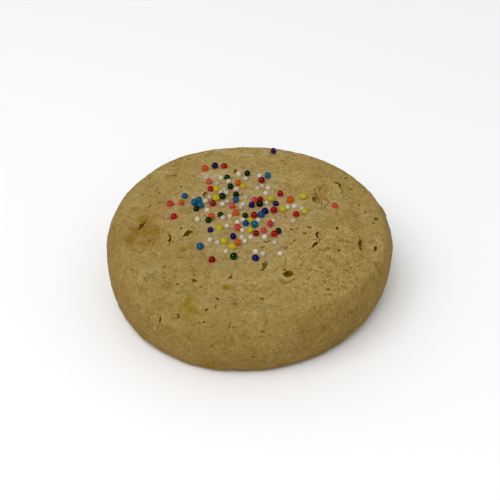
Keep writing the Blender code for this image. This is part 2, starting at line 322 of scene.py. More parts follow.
# %% Deep cracks
# Each row: width and depth in millimetres, then picture points along the crack.
DEEP_CRACKS = (
    (0.65, 0.9, (183.3, 236.6), (185.2, 235.4), (187.4, 233.8)),
    (0.6, 0.9, (188.2, 232.7), (190.5, 232.0), (192.7, 231.1)),
    (1.35, 1.0, (186.9, 233.8), (188.2, 232.6)),
    (0.75, 0.9, (188.9, 230.2), (187.9, 233.4), (187.5, 236.4)),
    (1.85, 1.2, (287.2, 274.6), (289.4, 273.1)),
    (0.48, 0.9, (138.9, 229.9), (140.2, 227.6), (141.2, 225.4)),
    (0.62, 0.9, (140.9, 225.2), (143.2, 224.0), (145.8, 221.6)),
    (0.72, 0.9, (140.9, 224.6), (142.3, 224.9)),
    (0.75, 0.9, (169.1, 235.2), (170.0, 236.9)),
    (0.42, 0.7, (169.9, 236.6), (170.6, 238.6), (170.1, 240.0)),
    (0.78, 0.9, (170.3, 239.6), (169.5, 241.4)),
    (0.7, 0.6, (203.3, 195.1), (205.2, 192.9), (207.9, 192.3)),
    (0.9, 0.85, (333.9, 183.1), (337.0, 183.2), (339.8, 184.3)),
    (1.05, 0.85, (336.6, 183.1), (338.9, 184.1)),
    (0.7, 0.75, (338.9, 184.2), (340.7, 187.6)),
    (0.58, 0.8, (318.4, 231.2), (316.4, 233.6), (318.2, 238.0)),
    (0.85, 0.9, (317.0, 242.0), (313.4, 245.2)),
    (0.6, 0.9, (359.5, 238.8), (360.5, 241.6)),
    (0.72, 0.9, (360.5, 241.4), (359.2, 245.8)),
    (0.55, 0.8, (359.5, 245.2), (360.8, 250.2)),
    (0.8, 1.0, (375.8, 246.7), (375.2, 249.2)),
    (0.8, 0.6, (374.4, 217.4), (376.0, 219.6), (378.7, 218.4)),
    (1.15, 0.52, (262.9, 263.4), (264.5, 264.6), (267.8, 263.9)),
    (1.05, 0.54, (264.7, 264.4), (264.3, 268.0)),
    (0.6, 0.6, (228.9, 278.9), (232.1, 275.2)),
    (0.7, 0.65, (192.8, 279.5), (196.8, 281.5)),
)
print("deep cracks:", len(DEEP_CRACKS))

# %% Fine cracks
# Rows of the same kind as above.
FINE_CRACKS = (
    (0.65, 0.5, (264.0, 268.0), (262.2, 270.2)),
    (0.4, 0.3, (168.0, 232.0), (168.9, 234.8)),
    (0.45, 0.24, (169.8, 241.3), (169.2, 245.4)),
    (0.6, 0.45, (361.4, 242.8), (361.0, 246.8)),
    (0.4, 0.2, (359.5, 235.4), (359.6, 239.4)),
    (0.5, 0.5, (375.2, 248.2), (374.7, 250.8)),
    (0.5, 0.4, (320.2, 239.0), (318.8, 240.6)),
    (0.65, 0.5, (313.8, 245.6), (312.8, 246.9)),
    (0.5, 0.35, (311.4, 247.4), (309.0, 248.8)),
    (0.8, 0.4, (308.0, 226.5), (309.5, 228.2), (311.6, 226.8)),
    (0.75, 0.5, (337.3, 227.6), (337.8, 228.9)),
    (0.6, 0.4, (148.7, 207.4), (151.5, 204.5)),
    (0.7, 0.3, (155.3, 191.3), (158.8, 187.8)),
    (0.55, 0.35, (158.0, 202.9), (161.5, 201.5)),
    (0.6, 0.4, (168.6, 175.5), (173.0, 175.0), (177.7, 175.2)),
    (0.9, 0.8, (173.4, 175.4), (177.2, 175.5)),
    (0.4, 0.2, (189.6, 180.8), (195.0, 181.0), (200.2, 182.2)),
    (0.65, 0.5, (236.0, 169.2), (234.5, 173.0)),
    (0.4, 0.2, (340.9, 187.6), (343.2, 191.6)),
    (1.0, 0.48, (315.6, 195.8), (313.9, 198.2), (314.6, 200.8), (316.6, 202.6)),
    (1.7, 0.34, (317.0, 196.0), (316.0, 199.2), (317.8, 202.0)),
    (0.6, 0.3, (315.0, 189.0), (315.5, 191.7), (317.0, 194.9)),
    (0.55, 0.22, (319.0, 191.2), (320.4, 188.4)),
    (0.65, 0.28, (326.4, 197.0), (327.0, 199.0), (329.2, 201.2)),
    (0.4, 0.25, (321.5, 200.0), (321.8, 210.0)),
    (0.45, 0.28, (328.7, 203.0), (322.2, 210.0)),
    (0.6, 0.45, (374.7, 222.3), (372.8, 223.5)),
    (0.45, 0.18, (328.0, 246.8), (331.6, 250.0)),
    (0.6, 0.3, (346.6, 241.0), (350.1, 242.8)),
    (0.4, 0.2, (350.4, 260.0), (344.7, 265.4)),
    (0.5, 0.4, (263.9, 240.2), (265.6, 242.5), (270.8, 239.6)),
    (0.32, 0.22, (285.5, 259.2), (285.2, 267.6)),
    (0.55, 0.6, (284.2, 268.6), (286.2, 271.2)),
    (0.8, 0.27, (279.2, 278.4), (281.4, 281.8), (286.0, 283.4), (290.6, 281.4), (295.6, 278.4)),
    (0.6, 0.32, (280.4, 279.2), (284.2, 280.8)),
    (0.4, 0.3, (194.8, 273.4), (193.3, 276.6)),
    (0.5, 0.4, (181.5, 257.1), (183.6, 258.0)),
    (0.55, 0.35, (162.4, 265.9), (165.6, 267.6)),
    (0.45, 0.3, (163.4, 272.6), (166.2, 274.6)),
    (0.7, 0.55, (215.9, 297.8), (219.6, 299.3)),
    (0.6, 0.5, (205.1, 310.9), (207.4, 309.0)),
    (0.5, 0.38, (214.9, 307.7), (216.4, 304.9)),
    (0.75, 0.42, (177.7, 314.2), (178.9, 317.4)),
    (0.66, 0.5, (160.6, 317.0), (159.6, 322.6)),
    (0.38, 0.3, (230.5, 322.6), (229.7, 325.6), (228.9, 328.2)),
    (0.45, 0.3, (203.2, 322.5), (205.0, 321.9)),
    (0.4, 0.25, (198.7, 323.2), (199.6, 322.9)),
    (0.35, 0.15, (199.9, 316.3), (203.4, 315.0)),
    (0.5, 0.4, (233.3, 302.3), (235.8, 303.2)),
    (0.4, 0.2, (169.8, 305.4), (172.2, 303.7)),
    (0.5, 0.22, (158.8, 299.8), (162.6, 299.4)),
    (0.5, 0.4, (204.3, 215.1), (207.7, 217.5)),
)
print("fine cracks:", len(FINE_CRACKS))

# %% Small pits
PITS = (
    (143.3, 194.5), (181.9, 186.4), (319.6, 213.1), (346.2, 177.8), (297.5, 228.2), (339.4, 250.3),
    (286.5, 247.6), (263.0, 247.0), (177.6, 284.2), (201.1, 286.6), (181.0, 228.3), (262.2, 298.7),
    (344.7, 287.4), (346.9, 270.8), (355.5, 286.5), (329.0, 289.3), (362.0, 255.7), (179.6, 225.0),
    (365.2, 212.4), (359.4, 205.3), (291.6, 229.4), (294.6, 240.8), (153.2, 217.8), (304.6, 233.2),
)
PIT_WIDTH = 0.70 * MM
PIT_DEPTH = 0.40 * MM
PIT_LENGTH = 0.5 * MM
PIT_WIDTH_SPREAD = (0.7, 1.2)
PIT_DEPTH_SPREAD = (0.6, 1.2)
print("pits:", len(PITS))

# %% Carry the marks onto the dough
NEARLY_UPRIGHT = 0.9
BRANCHES = 2
BRANCH_LENGTH = (0.5 * MM, 1.3 * MM)
BRANCH_WIDTH = 0.36 * MM
BRANCH_DEPTH = 0.35 * MM
MARK_SEED = 11
Crack = namedtuple("Crack", "line width depth")


def on_surface(picture_point):
    """Where a picture point lies on the dough, and the outward direction there."""
    place, outward, _, _ = smooth_tree.ray_cast(*sight_line(picture_point))
    return np.array(place), np.array(outward)


def carried(row):
    """A crack with its line carried onto the dough."""
    width, depth, *points = row
    return Crack(np.array([on_surface(point)[0] for point in points]), width * MM, depth * MM)


def short_slit(place, outward, turn, length):
    """Two points a length apart on the dough, turned about the outward direction."""
    helper = (0.0, 0.0, 1.0) if abs(outward[2]) < NEARLY_UPRIGHT else (1.0, 0.0, 0.0)
    first = np.cross(outward, helper)
    first = first / np.linalg.norm(first)
    second = np.cross(outward, first)
    half = (first * math.cos(turn) + second * math.sin(turn)) * length / 2
    return np.array((place - half, place + half))


def branches(crack, draw):
    """Short thin side tears that start somewhere along a crack."""
    tears = []
    for _ in range(BRANCHES):
        share = draw.uniform(0.0, 1.0)
        start = crack.line[0] + (crack.line[-1] - crack.line[0]) * share
        outward = np.array(smooth_tree.find_nearest(Vector(start))[1])
        slit = short_slit(start, outward, draw.uniform(0.0, math.pi), 2 * draw.uniform(*BRANCH_LENGTH))
        tears.append(Crack(np.array((start, slit[0])), BRANCH_WIDTH, BRANCH_DEPTH))
    return tears


cracks = [carried(row) for row in DEEP_CRACKS + FINE_CRACKS]
draw = random.Random(MARK_SEED)
for crack in cracks[:len(DEEP_CRACKS)]:
    cracks += branches(crack, draw)
for point in PITS:
    slit = short_slit(*on_surface(point), draw.uniform(0.0, math.pi), PIT_LENGTH)
    width = PIT_WIDTH * draw.uniform(*PIT_WIDTH_SPREAD)
    cracks.append(Crack(slit, width, PIT_DEPTH * draw.uniform(*PIT_DEPTH_SPREAD)))
print("marks:", len(cracks))

# %% [markdown]
# ## Where the beads lie
# Sugar beads were dropped in one pinch: crowded in the middle, thinner outside, with a few strays.
# The ones that stand out have read places. The rest lie in small patches: each patch is a circle with a
# few bright beads and a few pale ones, and its seed makes the draw the same each time. A bead is drawn
# again until it lies clear of the others and of the cracks.

# %% Beads that stand out
BEADS_SEEN = {
    "navy": (
        (273.4, 151.3), (251.6, 205.7), (264.9, 211.1), (210.5, 230.1), (233.1, 237.1), (255.4, 258.0),
        (214.9, 166.5)),
    "blue": (
        (184.7, 195.2), (194.5, 202.4), (198.8, 199.7), (235.9, 199.9), (267.7, 175.7), (200.2, 246.2),
        (200.5, 205.0)),
    "green": (
        (230.4, 186.2), (196.3, 208.0), (220.4, 214.8), (278.4, 231.1), (233.6, 256.9), (227.1, 177.3)),
    "red": ((224.1, 165.9), (174.0, 216.0), (210.3, 188.7), (273.9, 210.3), (256.1, 233.8), (212.0, 259.2)),
    "pink": ((170.2, 202.9), (208.9, 181.0), (334.6, 205.1), (237.6, 227.8), (232.2, 206.0)),
    "orange": ((204.9, 168.7), (181.2, 201.8), (238.1, 182.7), (290.2, 200.1), (237.6, 243.2)),
    "yellow": ((303.4, 196.8), (283.1, 209.2), (304.8, 211.9), (219.6, 227.4), (216.4, 188.8)),
}
BEADS_SEEN_SEED = 4
print("beads that stand out:", sum(len(points) for points in BEADS_SEEN.values()))

# %% Patches of beads
Patch = namedtuple("Patch", "at radius colours pale seed")
PATCHES = (
    Patch((219, 179), 4.0 * MM, (), 4, 895),
    Patch((248, 179), 4.5 * MM, ("green", "red", "yellow"), 3, 934),
    Patch((228, 190), 3.0 * MM, ("green",), 4, 33),
    Patch((268, 192), 4.0 * MM, ("red", "red", "yellow"), 4, 774),
    Patch((217, 199), 3.5 * MM, ("green", "red", "yellow"), 4, 724),
    Patch((245, 202), 3.5 * MM, ("pink",), 3, 780),
    Patch((265, 209), 4.0 * MM, ("navy", "blue", "green", "red"), 1, 879),
    Patch((294, 211), 4.0 * MM, ("red",), 4, 611),
    Patch((208, 216), 4.0 * MM, ("green", "orange"), 2, 306),
    Patch((231, 219), 3.5 * MM, ("orange",), 4, 496),
    Patch((252, 220), 3.0 * MM, ("blue", "blue", "green", "yellow"), 2, 978),
    Patch((269, 230), 4.0 * MM, ("red", "pink", "pink"), 2, 232),
    Patch((247, 235), 3.0 * MM, ("yellow",), 4, 616),
    Patch((217, 241), 2.0 * MM, ("yellow",), 2, 814),
    Patch((230, 249), 1.5 * MM, ("yellow",), 1, 376),
    Patch((269, 250), 4.0 * MM, (), 4, 298),
)
print("patches:", len(PATCHES))

# %% Where beads may lie
BeadKind = namedtuple("BeadKind", "diameters sinks")
BRIGHT = BeadKind((1.6 * MM, 1.9 * MM), (0.1, 0.35))
PALE = BeadKind((1.25 * MM, 1.55 * MM), (0.25, 0.50))
BEAD_TOUCH = 0.92
BEAD_LIFT = 0.4 * MM
CRACK_ENDS = (
    ((183.2, 236.3), (192.7, 230.8)), ((187.6, 230.6), (187.2, 236.8)), ((283.4, 275.0), (291.8, 272.2)),
    ((139.4, 228.8), (145.5, 221.8)), ((168.9, 234.9), (169.8, 241.9)), ((203.2, 195.2), (207.6, 192.5)),
    ((333.8, 182.9), (340.4, 186.0)), ((314.2, 201.5), (316.3, 194.0)), ((315.8, 232.0), (318.2, 237.6)),
    ((312.9, 246.6), (317.4, 241.8)), ((359.7, 239.5), (360.2, 249.3)), ((375.4, 247.3), (374.9, 250.8)),
    ((375.4, 218.5), (377.5, 220.0)), ((262.6, 263.6), (267.0, 264.4)), ((229.2, 278.9), (232.1, 275.5)),
    ((192.9, 279.6), (197.0, 281.9)), ((215.9, 298.2), (220.0, 299.2)), ((204.8, 311.2), (208.0, 309.1)),
    ((159.2, 322.8), (160.4, 318.0)), ((228.9, 328.0), (230.7, 322.8)),
)
CRACK_CLEARANCE = 1.3 * MM
SIGHT_STEPS = 8


def place_on_top(picture_point, lift=0.0):
    """Plan place (x, y) of a picture point on the top, or a lift above it."""
    start, direction = sight_line(picture_point)
    height = TOP_HEIGHT
    for _ in range(SIGHT_STEPS):
        place = start + direction * ((height + lift - start.z) / direction.z)
        angle = math.atan2(place.x, -place.y)
        height = float(top_height(math.hypot(place.x, place.y) / plan_factor(angle), angle))
    return place.x, place.y


crack_ends = [place_on_top(point) for ends in CRACK_ENDS for point in ends]
print("crack ends kept clear of beads:", len(crack_ends))

# %% Draw the beads
Bead = namedtuple("Bead", "colour place radius sink turn")


def draw_size(kind, draw):
    """Radius, sunk share and turn of one bead."""
    return draw.uniform(*kind.diameters) / 2, draw.uniform(*kind.sinks), draw.uniform(0.0, math.tau)


def seen_beads():
    """The beads that stand out."""
    draw = random.Random(BEADS_SEEN_SEED)
    return [
        Bead(colour, place_on_top(point, BEAD_LIFT), *draw_size(BRIGHT, draw))
        for colour, points in BEADS_SEEN.items() for point in points]


def is_clear(place, radius, beads):
    """Whether a bead would lie clear of other beads and of the cracks."""
    return all(
        math.dist(place, bead.place) > (radius + bead.radius) * BEAD_TOUCH for bead in beads
    ) and all(math.dist(place, end) > CRACK_CLEARANCE for end in crack_ends)


def patch_beads(patch, taken):
    """The beads of one patch, each drawn in its circle until it lies clear."""
    middle = place_on_top(patch.at, BEAD_LIFT)
    draw = random.Random(patch.seed)
    beads = []
    kinds = [(colour, BRIGHT) for colour in patch.colours] + [("white", PALE)] * patch.pale
    for colour, kind in kinds:
        size = draw_size(kind, draw)
        place = None
        while place is None or not is_clear(place, size[0], taken + beads):
            turn = draw.uniform(0.0, math.tau)
            reach = patch.radius * math.sqrt(draw.random())
            place = (middle[0] + reach * math.cos(turn), middle[1] + reach * math.sin(turn))
        beads.append(Bead(colour, place, *size))
    return beads


drawn_beads = seen_beads()
for patch in PATCHES:
    drawn_beads += patch_beads(patch, drawn_beads)
print("beads:", len(drawn_beads))

# %% [markdown]
# Each bead is sunk a little into the dough, straight below its place in the plan.

# %% Beads in the dough
SunkBead = namedtuple("SunkBead", "colour centre outward radius turn foot")


def sink_bead(bead):
    """A drawn bead, lowered onto the dough and partly into it."""
    above = Vector((*bead.place, 2 * TOP_HEIGHT))
    foot, outward, _, _ = smooth_tree.ray_cast(above, Vector((0.0, 0.0, -1.0)))
    centre = foot + outward * bead.radius * (1 - 2 * bead.sink)
    return SunkBead(bead.colour, centre, outward, bead.radius, bead.turn, foot)


beads = [sink_bead(bead) for bead in drawn_beads]
highest = max(bead.centre.z + bead.radius for bead in beads)
print("highest bead, mm:", round(highest / MM, 2), "solid's top:", round(cookie_high[2] / MM, 2))

# %% [markdown]
# ## Pores
# Between the marks that can be read lie many tiny pores, where bubbles broke through. They have no
# places worth reading, so a seeded draw scatters them over the top and the side, clear of the beads.

# %% Scatter of pores
PORES = 190
PORE_SEED = 5
PORE_CLEARANCE = 1.4 * MM
PORE_LOWEST = 3.0 * MM
PORE_WIDTH = (0.4 * MM, 0.75 * MM)
PORE_DEPTH = (0.15 * MM, 0.35 * MM)
PORE_LENGTH = (0.1 * MM, 1.0 * MM)


def scatter_pores():
    """Short slits at drawn points of the skin."""
    draw = random.Random(PORE_SEED)
    feet = [np.array(bead.foot) for bead in beads]
    pores = []
    while len(pores) < PORES:
        ray = Vector((draw.gauss(0, 1), draw.gauss(0, 1), abs(draw.gauss(0, 1)))).normalized()
        middle = Vector((0.0, 0.0, WIDEST_HEIGHT / 2))
        place, outward, _, _ = smooth_tree.ray_cast(middle + ray * RADIUS * 2, -ray)
        place, outward = np.array(place), np.array(outward)
        turn = draw.uniform(0.0, math.pi)
        size = [draw.uniform(*span) for span in (PORE_LENGTH, PORE_WIDTH, PORE_DEPTH)]
        clear = all(np.linalg.norm(place - foot) > PORE_CLEARANCE for foot in feet)
        if place[2] > PORE_LOWEST and clear:
            pores.append(Crack(short_slit(place, outward, turn, size[0]), size[1], size[2]))
    return pores


pores = scatter_pores()
print("pores:", len(pores))

# %% [markdown]
# ## Finer faces at the marks
# A slit 0.7 mm wide needs faces of about 0.1 mm, but such faces all over would make a heavy mesh.
# Only the faces near a mark are cut again.

# %% Refine the skin
PORE_MARGIN = 0.2 * MM
CRACK_MARGIN = 0.45 * MM
EDGE_MARGIN = 0.12 * MM
EDGE_CUTS = 2


def distances(places, point):
    """How far each place is from one point."""
    return np.linalg.norm(places - np.array(point), axis=1)


def along_line(places, line):
    """How far each place is from a line of points, and its share of the way along the line."""
    lengths = np.linalg.norm(np.diff(line, axis=0), axis=1)
    apart = np.full(len(places), np.inf)
    share = np.zeros(len(places))
    done = 0.0
    for start, step, length in zip(line, np.diff(line, axis=0), lengths):
        part = np.clip((places - start) @ step / length ** 2, 0.0, 1.0)
        distance = np.linalg.norm(places - start - part[:, None] * step, axis=1)
        closer = distance < apart
        apart[closer] = distance[closer]
        share[closer] = (done + part[closer] * length) / lengths.sum()
        done += length
    return apart, share


def around_line(places, line, reach):
    """Numbers of the places near a line, how far from it they are, and their shares of the way."""
    middle = line.mean(axis=0)
    near = np.nonzero(distances(places, middle) < distances(line, middle).max() + reach)[0]
    return near, *along_line(places[near], line)


def near_marks(places, marks, margin):
    """Which places lie close to one of the marks."""
    close = np.zeros(len(places), dtype=bool)
    for mark in marks:
        reach = mark.width / 2 + margin
        near, apart, _ = around_line(places, mark.line, reach)
        close[near[apart < reach]] = True
    return close


def refine(builder, marks, margin, cuts=1):
    """Cut the faces near marks again."""
    places, _ = wrap_ball(builder_places(builder))
    close = near_marks(places - plan_middle, marks, margin)
    builder.verts.index_update()
    edges = set()
    for face in builder.faces:
        if any(close[corner.index] for corner in face.verts):
            edges.update(face.edges)
    bmesh.ops.subdivide_edges(builder, edges=list(edges), cuts=cuts, use_grid_fill=True)


refine(skin, pores, PORE_MARGIN)
refine(skin, cracks, CRACK_MARGIN)
refine(skin, cracks, EDGE_MARGIN, EDGE_CUTS)
print("skin:", len(skin.faces), "faces after refining")

# %% [markdown]
# ## Pressing the relief in
# The crust gets its fine relief along the outward direction of every point: soft wrinkles a few
# millimetres long, a finer grain, a small dimple round each bead, and the cracks and pores. A crack's
# edge is broken up with noise, because torn dough has no straight edge, and its lips stand up a little.
# The side has small torn bumps at the right back, and the foot's edge wanders in and out.

# %% Sizes of the marks' walls and lips
JAGS = ((1.1 * MM, 0.22 * MM), (0.5 * MM, 0.19 * MM))
JAG_WIDEST = 0.9 * MM
TAPER_SHARE = 0.3
TAPER_POWER = 0.5
BLUNT_SHARE = 0.45
ROUND_SHARE = 1.4
POINTED_SPAN = (0.5, 1.0)
WALL_SPAN = (0.6, 1.1)
# A mark's brown is partly browner crumb and partly painted shade, darkest at its walls; the floor of a wide
# mark gets less of it.
BROWN_AND_SHADE_SPAN = (0.7, 1.35)
FLOOR_PALER = 0.66
PALE_FLOOR_WIDTHS = (1.0 * MM, 1.6 * MM)
PALE_FLOOR_REACH = 0.45
LIP_RISE = 0.09 * MM
LIP_AT = 1.6
LIP_WIDTH = 0.45
LIPLESS_WIDTHS = (1.0 * MM, 2.4 * MM)
MARK_REACH = 1.2 * MM
FULLY_BROWN_AND_SHADED_DEPTH = 0.8 * MM
BROWN_AND_SHADE_POWER = 1.2
print("a lip's rise, mm:", round(LIP_RISE / MM, 2))


# %% Press the marks
def smooth_step(low, high, value):
    """0 below low, 1 above high, and a smooth rise between."""
    share = np.clip((value - low) / (high - low), 0.0, 1.0)
    return share * share * (3 - 2 * share)


def press_mark(places, jags, mark):
    """Points that a mark reaches, how brown and darkened by painted shade each is, how much on its lip (a
    rise and a painted highlight), and the mark's relief.
    """
    reached, apart, share = around_line(places, mark.line, mark.width + MARK_REACH)
    taper = np.clip(np.minimum(share, 1 - share) / TAPER_SHARE, 0.0, 1.0) ** TAPER_POWER
    length = np.linalg.norm(np.diff(mark.line, axis=0), axis=1).sum()
    pointed = (1 - BLUNT_SHARE) * smooth_step(*POINTED_SPAN, length / (mark.width * ROUND_SHARE))
    half = mark.width / 2 * (1 - pointed * (1 - taper))
    ragged = (apart + jags[reached] * min(1.0, mark.width / JAG_WIDEST)) / half
    depth = 1 - smooth_step(*WALL_SPAN, ragged)
    paler = FLOOR_PALER * smooth_step(*PALE_FLOOR_WIDTHS, mark.width) * hump(ragged, PALE_FLOOR_REACH)
    brown = (1 - smooth_step(*BROWN_AND_SHADE_SPAN, ragged)) * (1 - paler)
    # A lip stands up a little and carries a painted highlight.
    lip_and_highlight = hump(ragged - LIP_AT, LIP_WIDTH) * (1 - smooth_step(*LIPLESS_WIDTHS, mark.width))
    return reached, brown, lip_and_highlight, LIP_RISE * lip_and_highlight * mark.depth / MM - mark.depth * depth


def press_all(places, marks):
    """Brownness with painted shade, painted lip highlight and relief of all the marks at every place."""
    jags = sum(size * dough_noise(places, wave) for wave, size in JAGS)
    hollow_brown_and_shade, painted_lip_highlight, relief = np.zeros((3, len(places)))
    for mark in marks:
        reached, brown, lip_and_highlight, rise = press_mark(places, jags, mark)
        # Deeper marks are painted darker: painted shade over the browner crumb.
        strength = min(1.0, (mark.depth / FULLY_BROWN_AND_SHADED_DEPTH) ** BROWN_AND_SHADE_POWER)
        hollow_brown_and_shade[reached] = np.maximum(hollow_brown_and_shade[reached], brown * strength)
        painted_lip_highlight[reached] = np.maximum(painted_lip_highlight[reached], lip_and_highlight * strength)
        deeper = np.abs(rise) > np.abs(relief[reached])
        relief[reached[deeper]] = rise[deeper]
    return hollow_brown_and_shade, painted_lip_highlight, relief


print("half way up a smooth step:", float(smooth_step(0.0, 1.0, 0.5)))

# %% Wrinkles, dimples, torn bumps and foot
WRINKLES = ((4.2 * MM, 0.10 * MM), (2.1 * MM, 0.09 * MM), (1.2 * MM, 0.09 * MM))
FADE_HEIGHT = 4.0 * MM
FOOT_WAVES = ((7.0 * MM, 0.40 * MM), (2.6 * MM, 0.30 * MM))
FOOT_WAVES_HEIGHT = 3.0 * MM
TEAR_SIZE = 2.4 * MM
TEAR_RISE = 0.5 * MM
TEAR_SPAN = (0.1, 0.4)
TEARS_FULL_AT = RADIUS / 4
TEARS_TILT = (0.3, 0.8)
DENT_AT = (321.4, 197.1)
DENT_SIZE = np.array((2.1, 2.7, 2.1)) * MM
DENT_DEPTH = 0.5 * MM
DIMPLE_DEPTH = 0.08 * MM
DIMPLE_WIDTH = 1.25
FLAT_FLOOR_POWER = 4


def bead_dimples(places):
    """A shallow dimple round each bead."""
    relief = np.zeros(len(places))
    for bead in beads:
        apart = distances(places, bead.foot) / (bead.radius * DIMPLE_WIDTH)
        relief = np.minimum(relief, -DIMPLE_DEPTH * np.exp(-(apart ** FLAT_FLOOR_POWER)))
    return relief


def uneven_foot(places):
    """Sideways shifts that make the foot's edge uneven, with none at the height of the side."""
    ray = places * (1.0, 1.0, 0.0)
    ray = ray / np.maximum(np.linalg.norm(ray, axis=1), RADIUS / 2)[:, None]
    shift = sum(size * dough_noise(places, wave) for wave, size in FOOT_WAVES)
    return ray * (shift * hump(places[:, 2], FOOT_WAVES_HEIGHT))[:, None]


def torn_bumps(places, outward):
    """Small torn bumps on the side at the right back."""
    torn = smooth_step(*TEAR_SPAN, dough_noise(places + RADIUS, TEAR_SIZE))
    for across in places[:, 0], places[:, 1]:
        torn = torn * smooth_step(0.0, TEARS_FULL_AT, across)
    return TEAR_RISE * torn * smooth_step(*TEARS_TILT, 1 - np.abs(outward[:, 2]))


def fine_relief(places, outward):
    """Wrinkles, grain, the torn bumps and the one broad dent."""
    fade = np.clip(places[:, 2] / FADE_HEIGHT, 0.0, 1.0)
    relief = fade * sum(size * dough_noise(places, wave) for wave, size in WRINKLES)
    dent_place, _ = on_surface(DENT_AT)
    apart = np.linalg.norm((places - dent_place) / DENT_SIZE, axis=1)
    return relief + torn_bumps(places, outward) - DENT_DEPTH * np.exp(-(apart ** FLAT_FLOOR_POWER))


print("dent, mm deep:", round(DENT_DEPTH / MM, 2))


# %% Make the crust
def mesh_from(builder, name):
    """Turn a mesh builder into a smoothly shaded mesh, and put the builder away."""
    mesh = bpy.data.meshes.new(name)
    builder.to_mesh(mesh)
    builder.free()
    mesh.polygons.foreach_set("use_smooth", [True] * len(mesh.polygons))
    return mesh


crust_mesh = mesh_from(skin, "crust")
ball_places = np.zeros(len(crust_mesh.vertices) * 3)
crust_mesh.vertices.foreach_get("co", ball_places)
places, outward = wrap_ball(ball_places.reshape(-1, 3))
places = places - plan_middle
hollow_brown_and_shade, painted_lip_highlight, mark_relief = press_all(places, cracks + pores)
relief = mark_relief + bead_dimples(places) + fine_relief(places, outward)
crust_places = places + outward * relief[:, None] + uneven_foot(places)
crust_mesh.vertices.foreach_set("co", crust_places.ravel())
crust_mesh.update()
crust = add_to_scene("crust", crust_mesh)
triangles = sum(len(polygon.vertices) - 2 for polygon in crust_mesh.polygons)
print("crust:", triangles, "triangles")
print("relief, mm:", round(relief.min() / MM, 2), "to", round(relief.max() / MM, 2))

# %% [markdown]
# ## Where the colour changes
# Colour follows place: hollows are browner because the torn crumb caught the heat, and are darkened
# with their depth as painted shade; the lips of the marks carry a painted highlight; the side is more
# golden than the top, and the crust darkens towards the bottom as painted shade; a few spots browned or
# soaked up butter, and pale and shady patches are painted light and shade. A texture could be painted,
# but the places are known as sizes and distances, so each is stored on the mesh as a number from 0 to 1,
# which the material reads by name.

# %% Spots of colour
# Each row: a picture point, the radius in millimetres, and the strength.
SPOTS = {
    "toasted": (
        (140, 230, 3.6, 0.9), (145, 235, 2.6, 0.7), (133, 237, 2.4, 0.75), (320.5, 196.5, 2.1, 0.45),
        (222.4, 363, 1.8, 0.5), (200.9, 360, 4.0, 0.1), (281.8, 272.8, 0.7, 0.3),
        (375.3, 248.9, 0.8, 0.6), (131, 241, 1.6, 0.45), (151, 238, 3.6, 0.45), (187, 306, 2.8, 0.15),
    ),
    "butter": (
        (155.5, 231, 2.6, 0.75), (142, 244, 2.4, 0.4), (130.5, 241.5, 1.4, 0.8), (143.5, 219, 2.0, 0.8),
        (187, 306.4, 2.8, 0.8), (226, 286.5, 1.5, 0.85), (212, 364.6, 2.0, 0.7),
        (182.2, 249.8, 1.2, 0.75), (256, 352, 3.5, 0.3), (191, 246.6, 1.5, 0.45),
        (316, 175.3, 1.7, 0.5), (325, 187.5, 2.2, 0.5), (348.5, 215.5, 3.2, 0.4),
    ),
    # Pale patches are painted light.
    "pale": (
        (293, 245, 11.0, 0.55), (283, 203, 6.0, 0.6), (172, 226, 6.0, 0.5), (254, 344, 6.0, 0.3),
        (332, 204, 7.0, 0.35), (180, 358, 8.0, 0.7), (270, 337, 5.0, 0.6), (352, 294, 5.0, 0.2),
        (225, 160, 14.0, 0.8), (287, 166, 9.0, 0.6), (318, 184, 4.5, 0.45), (170, 185, 6.0, 0.4),
        (298, 276, 5.0, 0.35),
    ),
    # Shady patches are painted shade.
    "shady": (
        (222, 318, 10.0, 0.2), (200, 350, 5.0, 0.3), (143, 306, 5.0, 0.3), (190, 258, 7.5, 0.6),
        (152, 308, 9.0, 0.5), (297, 343, 6.0, 0.65), (121, 235, 6.0, 0.8), (222, 237, 5.0, 0.5),
        (345, 325, 9.0, 0.5), (270, 246, 4.5, 0.45), (145, 306, 4.0, 0.25),
    ),
    "sandy": (
        (330, 262, 15.0, 1.0), (355, 315, 12.0, 0.9),
    ),
    "ruddy": (
        (148, 218, 10.5, 1.0), (120, 238, 5.0, 0.7),
    ),
}
SPOT_EDGE_NOISE = 2.2 * MM
SPOT_SPAN = (0.35, 1.3)
SPOT_RAGGED = 0.45


def spots_value(places, ragged, spots):
    """How strongly each place lies in one of the spots."""
    value = np.zeros(len(places))
    for across, down, radius, strength in spots:
        apart = distances(places, on_surface((across, down))[0]) / (radius * MM)
        share = 1 - smooth_step(*SPOT_SPAN, apart + SPOT_RAGGED * ragged)
        value = np.maximum(value, strength * share)
    return value


print("spots:", {name: len(spots) for name, spots in SPOTS.items()})

# %% Store the places of colour
SIDE_TILT = (0.15, 0.9)
UNDER_TILT = (-0.95, -0.6)
BASE_TILT = (0.6, 0.95)
# Below this height the crust is darkened as painted shade.
FOOT_SHADE_HEIGHT = 14.0 * MM
DUST_REACH = 3.0 * MM
DUST_FULL = 2.2
BLEEDING = ("red", "pink")
BLEED_REACH = 0.55 * MM
CLEARLY = 0.5


def dust_value(places):
    """How much sugar dust lies at each place: most between crowded beads."""
    dust = sum(hump(distances(places, bead.foot), DUST_REACH) for bead in beads)
    return np.clip(dust / DUST_FULL, 0.0, 1.0)


def bled_value(places):
    """How strongly the red beads' colour bled into each place."""
    value = np.zeros(len(places))
    for bead in beads:
        if bead.colour in BLEEDING:
            apart = distances(places, bead.foot) - bead.radius
            value = np.maximum(value, hump(np.maximum(apart, 0.0), BLEED_REACH))
    return value


